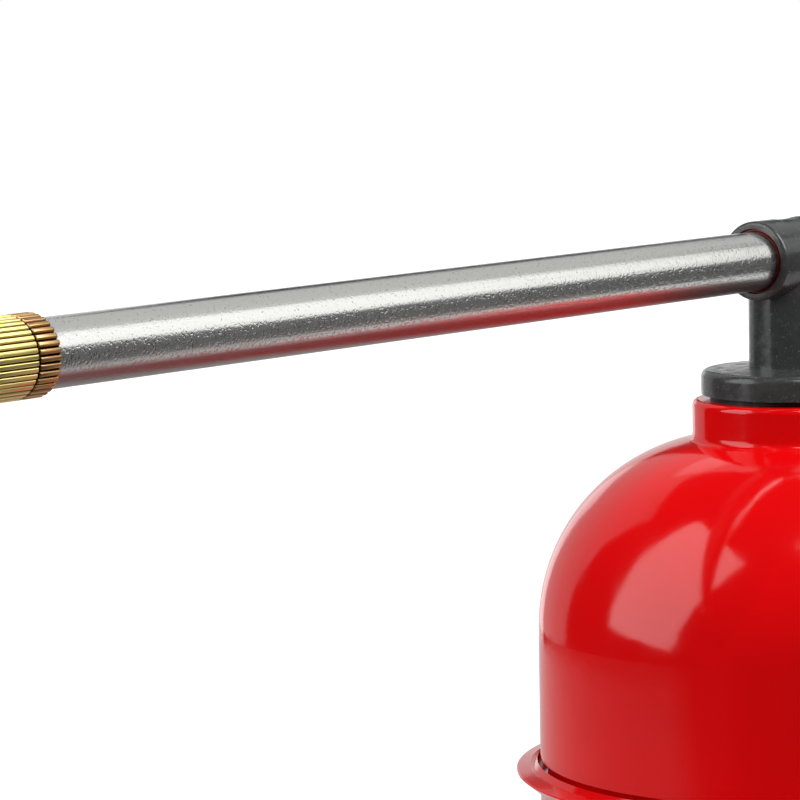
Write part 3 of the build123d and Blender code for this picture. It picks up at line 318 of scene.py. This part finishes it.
grip_plastic = plain_surface("moulded_black_phenolic", "#0E0E10", "#17171A", 0.0, 0.1, 0.2,
                             6 * MM, 0.02 * MM)
grey_paint = plain_surface("satin_grey_enamel", "#33363A", "#3D4045", 0.0, 0.28, 0.4,
                           2.5 * MM, 0.03 * MM)
turned_brass = plain_surface("turned_brass", "#D3A643", "#E0B650", 1.0, 0.24, 0.32,
                             5 * MM, 0.004 * MM)

finishes = {
    "red_enamel": enamel, "grey_paint": grey_paint, "grey_pvc": pvc,
    "aluminium_tube": aluminium, "brass": turned_brass, "yellow_rubber": amber_rubber,
    "red_rubber": red_rubber, "black_rubber": black_rubber, "fibre_gasket": fibre,
    "zinc_steel": zinc, "ground_steel": ground, "cast_iron": iron, "bronze": bronze,
    "black_grip": grip_plastic,
}
own_finish = {"nozzle_nut": nut_brass, "nozzle_adapter": ring_brass}

for subpart in frame["record"]["subparts"]:
    mesh = nodes[subpart["node"]].data
    mesh.materials.clear()
    mesh.materials.append(own_finish.get(subpart["node"], finishes[subpart["material_slot"]]))


# --- Pieces that stand for CAD nodes -------------------------------------------------

scene = bpy.context.scene
body_of = {node: body for body, members in frame["record"]["behaviour"]["bodies"].items()
           for node in members}

# angles in degrees: where an edge counts as sharp, where two faces count as one, and where
# shading breaks on machined, knurled and enamelled pieces
SHARP_FROM = 30
FLAT_WITHIN = 0.3
MACHINED_CREASE = 28
KNURLED_CREASE = 50
ENAMEL_CREASE = 30


def finish_piece(bm, name, body, material, crease):
    """Closes a mesh, shades it smooth up to a crease angle in degrees, and puts it on a body
    with the material it is given."""
    bmesh.ops.remove_doubles(bm, verts=bm.verts, dist=0.001 * MM)
    bmesh.ops.recalc_face_normals(bm, faces=bm.faces)
    mesh = bpy.data.meshes.new(name)
    bm.to_mesh(mesh)
    bm.free()
    mesh.materials.append(material)
    mesh.shade_smooth()
    mesh.set_sharp_from_angle(angle=math.radians(crease))
    piece = bpy.data.objects.new(name, mesh)
    scene.collection.objects.link(piece)
    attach(piece, body)
    return piece


def stand_in(bm, node, material, crease):
    """A finished piece in the place of a CAD node, on its body and with its finish."""
    piece = finish_piece(bm, "fine_" + node, body_of[node], material, crease)
    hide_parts(node)
    return piece


def eased_edges(node, width):
    """A machined piece with its sharp edges broken, so that they catch the light."""
    bm = bmesh.new()
    bm.from_mesh(nodes[node].data)
    bmesh.ops.remove_doubles(bm, verts=bm.verts, dist=0.002 * MM)
    bmesh.ops.dissolve_limit(bm, angle_limit=math.radians(FLAT_WITHIN), verts=bm.verts,
                             edges=bm.edges)
    sharp = [edge for edge in bm.edges
             if edge.is_manifold and edge.calc_face_angle() > math.radians(SHARP_FROM)]
    bmesh.ops.bevel(bm, geom=sharp, offset=width, segments=2, affect="EDGES", profile=0.5,
                    material=-1, clamp_overlap=True)
    piece = stand_in(bm, node, nodes[node].data.materials[0], MACHINED_CREASE)
    # the broad faces keep their own normals, so that they look flat up to the broken edge
    flat = piece.modifiers.new("flat_faces", "WEIGHTED_NORMAL")
    flat.keep_sharp = True
    flat.weight = 90


# a groove takes this share of a tooth's pitch each side of its middle
GROOVE_SHARE = 0.21
GROOVE_SHARPNESS = 1.2
POINTS_PER_TOOTH = 12


def set_radius(loop, radius_at):
    """Moves each point of a loop straight out to the radius that a rule gives its angle."""
    for vert in loop:
        radius = radius_at(math.atan2(vert.co.y, vert.co.x))
        vert.co.xy = vert.co.xy.normalized() * radius


def knurl(teeth, flute, crown, limit):
    """The rule for a knurled loop: wide crowned teeth with narrow grooves between them, all
    turned down to a limit where the ring is chamfered."""
    def radius_at(angle):
        turn = angle * teeth / (2 * math.pi)
        phase = abs(turn - round(turn))
        groove = max(0.0, math.cos(min(phase / GROOVE_SHARE, 1.0) * math.pi / 2))
        fall = crown * (1 - 2 * phase) ** 2
        return min(CREST - flute * groove ** GROOVE_SHARPNESS - fall, limit)
    return radius_at


def lay_along_arm(bm, back):
    """Turns a mesh's own axis along the arm, facing the nozzle, from where its back is."""
    bmesh.ops.rotate(bm, verts=bm.verts, matrix=Matrix.Rotation(math.radians(-90), 3, "Y"))
    bmesh.ops.translate(bm, verts=bm.verts, vec=(back, 0, ARM_Z))


def knurled_ring(back, teeth, flute, crown, outside, inside):
    """A ring round the arm: the outside rows give (distance from its back, turned radius)
    of the knurled surface, and the inside rows the plain surface that closes it."""
    bm = bmesh.new()
    loop = set(bmesh.ops.create_circle(bm, segments=teeth * POINTS_PER_TOOTH,
                                       radius=CREST)["verts"])
    for number, (distance, radius) in enumerate(outside + inside):
        if number:
            edges = list({edge for vert in loop for edge in vert.link_edges
                          if all(end in loop for end in edge.verts)})
            grown = bmesh.ops.extrude_edge_only(bm, edges=edges)["geom"]
            loop = {item for item in grown if isinstance(item, bmesh.types.BMVert)}
        for vert in loop:
            vert.co.z = distance
        knurled = number < len(outside)
        set_radius(loop, knurl(teeth, flute, crown, radius) if knurled else lambda _: radius)
    bmesh.ops.bridge_loops(bm, edges=[edge for edge in bm.edges if edge.is_boundary])
    lay_along_arm(bm, back)
    return bm


# chamfers of the knurled surface, as (distance from the end, fall from the crest)
END_CHAMFER = ((0.0, 0.4 * MM), (0.15 * MM, 0.12 * MM), (0.45 * MM, 0.0))
NUT_NOSE = ((2.4 * MM, 0.0), (2.0 * MM, 0.15 * MM), (0.25 * MM, 1.9 * MM), (0.0, 2.3 * MM))
back_rows = [(along, CREST - fall) for along, fall in END_CHAMFER]

NUT_GAP = 0.7 * MM
RING_TEETH = 34
RING_CROWN = 0.3 * MM
RING_LENGTH = ring_high.x - nut_high.x - NUT_GAP
SOCKET_R = ARM_R + 0.05 * MM
SOCKET_FLOOR = RING_LENGTH - 1.5 * MM
ADAPTER_BORE = 6.0 * MM
THREAD_END = ring_high.x - ring_low.x
THREAD_LEAD_IN = 0.6 * MM
THREAD_ROOT = 9.2 * MM
THREAD_CREST = 9.78 * MM
THREAD_PITCH = 1.5 * MM
STEPS_PER_TURN = 32

ring = knurled_ring(
    ring_high.x, RING_TEETH, RING_FLUTE, RING_CROWN,
    back_rows + [(RING_LENGTH - along, CREST - fall) for along, fall in reversed(END_CHAMFER)],
    [(RING_LENGTH, THREAD_ROOT), (THREAD_END - THREAD_LEAD_IN, THREAD_ROOT),
     (THREAD_END, THREAD_ROOT - 0.5 * MM), (THREAD_END, ADAPTER_BORE),
     (SOCKET_FLOOR, ADAPTER_BORE), (SOCKET_FLOOR, SOCKET_R), (0.0, SOCKET_R)])

# the male thread: one ridge with its foot inside the wall, swept round and forward a pitch a
# turn, short of both ends
RIDGE_FOOT = -0.1 * MM
RIDGE_HEIGHT = THREAD_CREST - THREAD_ROOT
ridge = bmesh.new()
corners = [ridge.verts.new((THREAD_ROOT + out, 0, along)) for out, along in (
    (RIDGE_FOOT, -0.6 * MM), (RIDGE_HEIGHT, -0.12 * MM),
    (RIDGE_HEIGHT, 0.12 * MM), (RIDGE_FOOT, 0.6 * MM))]
section = ridge.faces.new(corners)
turns = (THREAD_END - RING_LENGTH - 3.0 * MM) / THREAD_PITCH
bmesh.ops.spin(ridge, geom=[section] + section.edges[:] + corners, cent=(0, 0, 0),
               axis=(0, 0, 1), dvec=(0, 0, THREAD_PITCH / STEPS_PER_TURN),
               angle=turns * 2 * math.pi, steps=round(turns * STEPS_PER_TURN),
               use_merge=False, use_duplicate=False)
bmesh.ops.recalc_face_normals(ridge, faces=ridge.faces)
bmesh.ops.translate(ridge, verts=ridge.verts, vec=(0, 0, RING_LENGTH + 1.2 * MM))
lay_along_arm(ridge, ring_high.x)
ridge_mesh = bpy.data.meshes.new("thread_ridge")
ridge.to_mesh(ridge_mesh)
ridge.free()
ring.from_mesh(ridge_mesh)
bpy.data.meshes.remove(ridge_mesh)
knurled_adapter = stand_in(ring, "nozzle_adapter", ring_brass, KNURLED_CREASE)

NUT_TEETH = 40
NUT_CROWN = 0.14 * MM
NUT_LENGTH = nut_high.x - nut_low.x
NUT_SEAT = NUT_LENGTH - 4.0 * MM
NUT_MOUTH = 8.8 * MM
NUT_BORE = 9.88 * MM

nut = knurled_ring(
    nut_high.x, NUT_TEETH, NUT_FLUTE, NUT_CROWN,
    back_rows + [(NUT_LENGTH - along, CREST - fall) for along, fall in NUT_NOSE],
    [(NUT_LENGTH, NUT_MOUTH), (NUT_SEAT, NUT_MOUTH), (NUT_SEAT, NUT_BORE), (0.0, NUT_BORE)])
knurled_nut = stand_in(nut, "nozzle_nut", nut_brass, KNURLED_CREASE)

# machined and pressed pieces, with the width of their broken edges in millimetres
for node, width in (("base_plate", 0.4), ("casing_screws", 0.45), ("drain_plug", 0.6),
                    ("gland_nut", 0.6), ("crank_nut", 0.5), ("spindle_nut", 0.5),
                    ("crank_washers", 0.2), ("suction_fitting", 0.6), ("crank_arm", 0.5),
                    ("suction_gasket", 0.15), ("drain_gasket", 0.15), ("base_gasket", 0.15)):
    eased_edges(node, width * MM)


# the enamelled fillet where the neck rises from the shoulder: a hollow arc between its tangent
# points, 77 degrees of it because the shoulder falls away, closed inside the wall
FILLET_R = 2.7 * MM
FILLET_SWEEP = 77
FILLET_STEPS = 12
NECK_R = 32.6 * MM
NECK_FOOT = NECK_TOP - 13.58 * MM
FILLET_TOP = NECK_FOOT + 2.17 * MM
BURIED = 0.4 * MM

fillet = bmesh.new()
outline = []
for step in range(FILLET_STEPS + 1):
    angle = math.radians(180 + FILLET_SWEEP * step / FILLET_STEPS)
    outline.append((NECK_R + FILLET_R * (1 + math.cos(angle)),
                    FILLET_TOP + FILLET_R * math.sin(angle)))
toe, toe_height = outline[-1]
outline += [(toe, toe_height - 0.3 * MM), (NECK_R - BURIED, NECK_FOOT - 2 * BURIED),
            (NECK_R - BURIED, FILLET_TOP)]
corners = [fillet.verts.new((reach, 0, rise)) for reach, rise in outline]
edges = [fillet.edges.new(pair) for pair in zip(corners, corners[1:] + corners[:1])]
bmesh.ops.spin(fillet, geom=corners + edges, cent=(0, 0, 0), axis=(0, 0, 1), dvec=(0, 0, 0),
               angle=2 * math.pi, steps=144, use_merge=True, use_duplicate=False)
finish_piece(fillet, "neck_fillet", "vessel", enamel, ENAMEL_CREASE)


# --- Studio --------------------------------------------------------------------------

scene.view_settings.view_transform = "Standard"

# who answers to a light: the sheets on the floor, all but the sheets, the arm, or the nut
sheets, object_only, arm_only, nut_only = (
    bpy.data.collections.new(name) for name in ("sheets", "object_only", "arm_only", "nut_only"))


def softbox(name, centre, target, width, height, radiance, turn=0.0, receivers=object_only):
    """A soft rectangular light of even radiance, facing its target."""
    data = bpy.data.lights.new(name, "AREA")
    data.shape = "RECTANGLE"
    data.size = width
    data.size_y = height
    data.energy = radiance * math.pi * width * height
    lamp = bpy.data.objects.new(name, data)
    lamp.location = centre
    lamp.rotation_mode = "QUATERNION"
    facing = (Vector(target) - Vector(centre)).to_track_quat("-Z", "Y")
    lamp.rotation_quaternion = facing @ Quaternion((0, 0, 1), turn)
    lamp.visible_camera = False
    lamp.light_linking.receiver_collection = receivers
    scene.collection.objects.link(lamp)
    return lamp


def stage_plane(name, radius, height, material, cuts=()):
    """A flat disc of the stage, trimmed beyond each cut: a level direction and a distance."""
    bm = bmesh.new()
    bmesh.ops.create_circle(bm, cap_ends=True, segments=96, radius=radius)
    bmesh.ops.translate(bm, verts=bm.verts, vec=(0, 0, height))
    for direction, distance in cuts:
        everything = bm.verts[:] + bm.edges[:] + bm.faces[:]
        bmesh.ops.bisect_plane(bm, geom=everything, plane_co=direction * distance,
                               plane_no=direction, clear_outer=True)
    mesh = bpy.data.meshes.new(name)
    bm.to_mesh(mesh)
    bm.free()
    mesh.materials.append(material)
    disc = bpy.data.objects.new(name, mesh)
    scene.collection.objects.link(disc)
    return disc


def matte_white(name, shade):
    """Matt white paint, rolled on."""
    material, tree, output = new_material(name)
    shader = add_node(tree, "ShaderNodeBsdfDiffuse", {"Color": linear(shade)})
    tree.links.new(shader.outputs["BSDF"], output.inputs["Surface"])
    return material


# The floor is what the camera sees. The paper disc is what the gloss sees of it: a sheet under
# the pump that ends at the front, so the dark room beyond it draws a clean edge on the enamel.
FLOOR_R = 40
FLOOR_HEIGHT = -0.5 * MM
PAPER_R = 0.95
PAPER_HEIGHT = -0.2 * MM
SURROUND_R = 12

floor = stage_plane("floor", FLOOR_R, FLOOR_HEIGHT, matte_white("floor_white", "#F6F6F6"))
floor.visible_glossy = False
floor.visible_diffuse = False
floor.visible_shadow = False


def white_surround(radius):
    """An even white studio wall all round, seen by the camera alone."""
    material, tree, output = new_material("surround_white")
    glow = add_node(tree, "ShaderNodeEmission", {"Color": linear("#FFFFFF"), "Strength": 1.0})
    tree.links.new(glow.outputs["Emission"], output.inputs["Surface"])
    bm = bmesh.new()
    bmesh.ops.create_uvsphere(bm, u_segments=64, v_segments=32, radius=radius)
    mesh = bpy.data.meshes.new("surround")
    bm.to_mesh(mesh)
    bm.free()
    mesh.materials.append(material)
    wall = bpy.data.objects.new("surround", mesh)
    for kind in ("diffuse", "glossy", "transmission", "volume_scatter", "shadow"):
        setattr(wall, "visible_" + kind, False)
    scene.collection.objects.link(wall)


white_surround(SURROUND_R)

# the paper's cut edges: the way each faces, and how far it is from the pump's axis
NEAR_EDGE = Vector((0.0, -1.0, 0.0))
NEAR_CUT = 0.37
CORNER_EDGE = Vector((-0.474, -0.88, 0.0))
CORNER_CUT = 0.359


def paper_sheet():
    """Matt paper with painted light and shade: lighter towards the crank's side of the sheet,
    and falling into painted shade towards its cut corner."""
    material, tree, output = new_material("paper_sheet")
    place = add_node(tree, "ShaderNodeTexCoord").outputs["Object"]
    axes = add_node(tree, "ShaderNodeSeparateXYZ", {"Vector": place})
    # painted light: the sheet's grey grows lighter towards +X, the crank's side
    share = add_node(tree, "ShaderNodeMapRange", {
        "Value": axes.outputs["X"], "From Min": -0.6, "From Max": 0.5,
        "To Min": 0.0, "To Max": 1.0})
    colour = add_node(tree, "ShaderNodeMix", {
        "Factor": share.outputs["Result"], "A": linear("#828282"), "B": linear("#B4B6B6")},
        data_type="RGBA")
    outwards = add_node(tree, "ShaderNodeVectorMath", {0: place, 1: CORNER_EDGE},
                        operation="DOT_PRODUCT")
    shade = add_node(tree, "ShaderNodeMapRange", {
        "Value": outwards.outputs["Value"], "From Min": 0.1, "From Max": 0.36,
        "To Min": 0.0, "To Max": 1.0}, interpolation_type="SMOOTHSTEP")
    shaded = add_node(tree, "ShaderNodeMix", {
        "Factor": shade.outputs["Result"], "A": colour.outputs["Result"],
        "B": linear("#2C2C2C")}, data_type="RGBA")
    shader = add_node(tree, "ShaderNodeBsdfDiffuse", {"Color": shaded.outputs["Result"]})
    tree.links.new(shader.outputs["BSDF"], output.inputs["Surface"])
    return material


paper = stage_plane("paper", PAPER_R, PAPER_HEIGHT, paper_sheet(),
                    cuts=((NEAR_EDGE, NEAR_CUT), (CORNER_EDGE, CORNER_CUT)))
paper.visible_camera = False
paper.visible_shadow = False

for sheet in (floor, paper):
    sheets.objects.link(sheet)
    object_only.objects.link(sheet)
for entry in object_only.collection_objects:
    entry.light_linking.link_state = "EXCLUDE"
for piece in (nodes["arm_tube"], knurled_adapter, knurled_nut, nodes["rubber_tip"]):
    arm_only.objects.link(piece)
nut_only.objects.link(knurled_nut)

# the soft overhead light that keeps the floor white
WASH_STRENGTH = 4.4
WASH_SPREAD = math.radians(70)
wash = bpy.data.objects.new("floor_wash", bpy.data.lights.new("floor_wash", "SUN"))
wash.data.energy = WASH_STRENGTH
wash.data.angle = WASH_SPREAD
wash.light_linking.receiver_collection = sheets
scene.collection.objects.link(wash)

DOME_SPOT = Vector((-0.0785, -0.008, 0.2))
ARM_SPOT = Vector((-0.19, 0.0, ARM_Z))


def towards(azimuth, elevation):
    """The unit vector at an azimuth from +X and an elevation, both in degrees."""
    turn, rise = math.radians(azimuth), math.radians(elevation)
    return Vector((math.cos(turn) * math.cos(rise), math.sin(turn) * math.cos(rise),
                   math.sin(rise)))


# name, aimed at, azimuth, elevation, distance, width, height, radiance, turn
softboxes = (
    ("key", DOME_SPOT, 148.8, 29.6, 1.6, 1.22, 1.93, 2.75, -11.5),
    ("front_fill", DOME_SPOT, -88, 50, 1.35, 1.0, 1.0, 6.0, 0),
    ("back_panel", DOME_SPOT, 72, 19, 1.6, 1.35, 1.8, 0.5, 0),
    ("table_bounce", DOME_SPOT, 160, -35, 1.5, 1.6, 1.2, 1.1, 0),
    ("horizon_panel", DOME_SPOT, 40, -2, 2.2, 1.7, 1.25, 0.8, 0),
)
for name, spot, azimuth, elevation, distance, width, height, radiance, turn in softboxes:
    centre = spot + distance * towards(azimuth, elevation)
    lamp = softbox(name, centre, spot, width, height, radiance, math.radians(turn))
    # the bounce only lifts the shade, and isn't itself mirrored
    lamp.visible_glossy = name != "table_bounce"

# long panels parallel to the arm, whose edges draw straight bands along the tube. The ones that
# only the arm mirrors would otherwise show in the dome: name, angle about the arm from +Y,
# distance, share of it along the arm, length, width, radiance, whether only the arm mirrors it
bands = (
    ("arm_strip", 138, 1.0, 1.14, 1.1, 0.93, 1.15, False),
    ("arm_canopy", 77, 1.3, 1.14, 1.6, 1.8, 0.55, False),
    ("arm_card", 190, 1.0, 1.14, 1.1, 1.0, 0.11, True),
    ("arm_far_strip", 130, 1.0, -1.14, 1.3, 1.1, 1.0, True),
    ("arm_far_canopy", 77, 1.3, -1.0, 1.8, 1.6, 0.5, True),
)
for name, angle, distance, offset, length, width, radiance, arm_alone in bands:
    side = Vector((0, math.cos(math.radians(angle)), math.sin(math.radians(angle))))
    level_spot = ARM_SPOT + Vector((offset * distance, 0, 0))
    softbox(name, level_spot + distance * side, level_spot, length, width, radiance,
            receivers=arm_only if arm_alone else object_only)

# a high light that only the nut answers, so that its upper crests shine
NUT_SPOT = Vector((nut_low.x, 0.0, ARM_Z))
NUT_LIGHT_REACH = 0.8
softbox("nut_light", NUT_SPOT + NUT_LIGHT_REACH * towards(-10, 44), NUT_SPOT, 0.8, 0.6, 1.0,
        receivers=nut_only)

world = bpy.data.worlds.new("studio")
world.use_nodes = True
scene.world = world
world.node_tree.nodes["Background"].inputs["Color"].default_value = linear("#2A2B2B")
